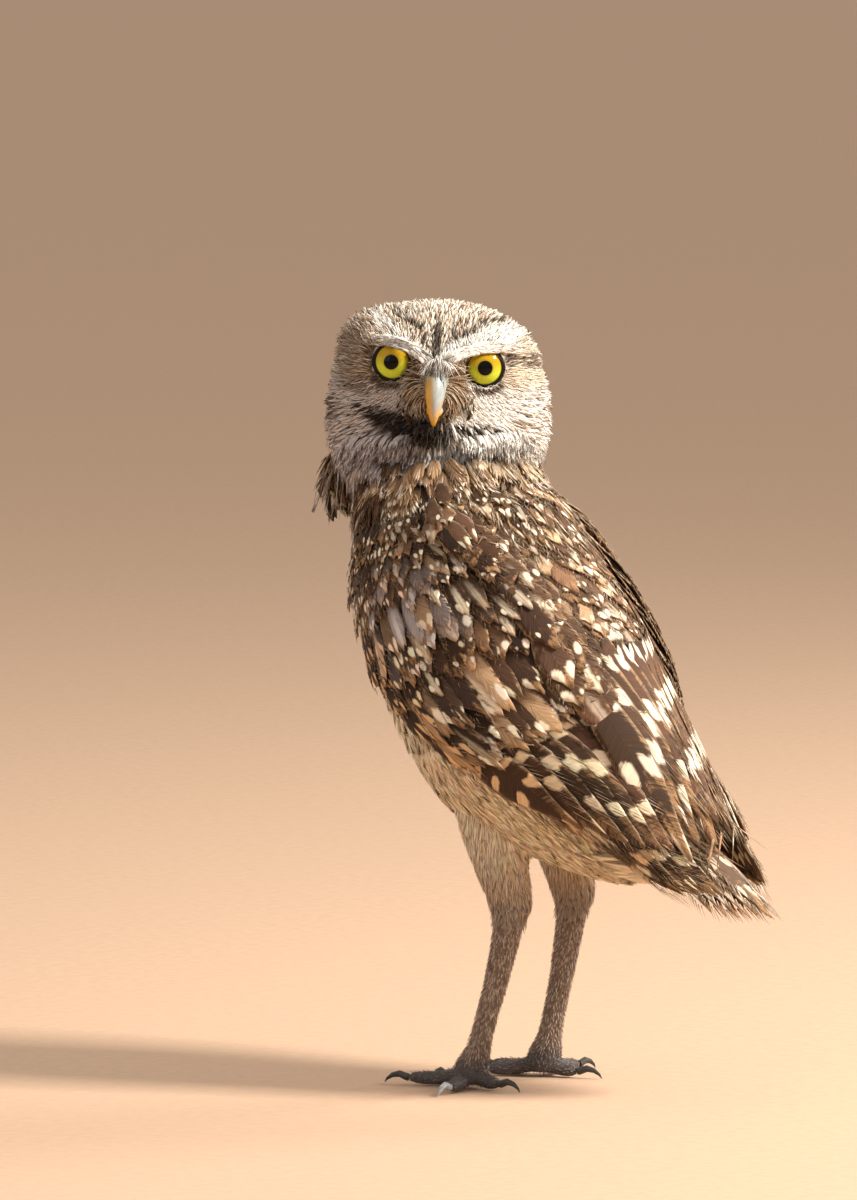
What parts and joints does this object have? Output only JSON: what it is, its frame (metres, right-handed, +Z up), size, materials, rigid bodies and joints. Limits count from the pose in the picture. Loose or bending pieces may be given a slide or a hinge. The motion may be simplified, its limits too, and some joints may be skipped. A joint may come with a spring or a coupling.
{
  "type": "burrowing owl",
  "caption": "Life-size standing burrowing owl model, head turned back over the left shoulder, wings folded, long bare-looking legs.",
  "frame": {"origin": "on the floor, under the middle of the owl's bounding box", "axes": "+Z up, the body faces -Y, the owl's left side is +X and its tail points to +Y"},
  "size_m": [0.0902, 0.154, 0.2398],
  "materials": {
    "plumage_back": "dark brown feathers with cream spots and bars, matt",
    "plumage_head": "grey-brown and cream streaked feathers, matt",
    "plumage_belly": "buff and cream feathers with brown bars, matt",
    "leg_feather": "short grey-brown bristly feathers, matt",
    "bill_horn": "pale grey-green and yellow horn, satin",
    "claw_horn": "dark horn, satin",
    "eye_yellow": "yellow iris and black pupil under a wet clear surface"
  },
  "bodies": {
    "root": {"bill_lower": "bill_horn", "bill_upper": "bill_horn", "claw_hind_left": "claw_horn", "claw_hind_right": "claw_horn", "claw_inner_left": "claw_horn", "claw_inner_right": "claw_horn", "claw_middle_left": "claw_horn", "claw_middle_right": "claw_horn", "claw_outer_left": "claw_horn", "claw_outer_right": "claw_horn", "eye_left": "eye_yellow", "eye_right": "eye_yellow", "head": "plumage_head", "neck": "plumage_head", "shank_left": "leg_feather", "shank_right": "leg_feather", "tail": "plumage_back", "thigh_left": "plumage_belly", "thigh_right": "plumage_belly", "toe_hind_left": "leg_feather", "toe_hind_right": "leg_feather", "toe_inner_left": "leg_feather", "toe_inner_right": "leg_feather", "toe_middle_left": "leg_feather", "toe_middle_right": "leg_feather", "toe_outer_left": "leg_feather", "toe_outer_right": "leg_feather", "torso": "plumage_belly", "wing_left": "plumage_back", "wing_right": "plumage_back"}
  },
  "joints": []
}
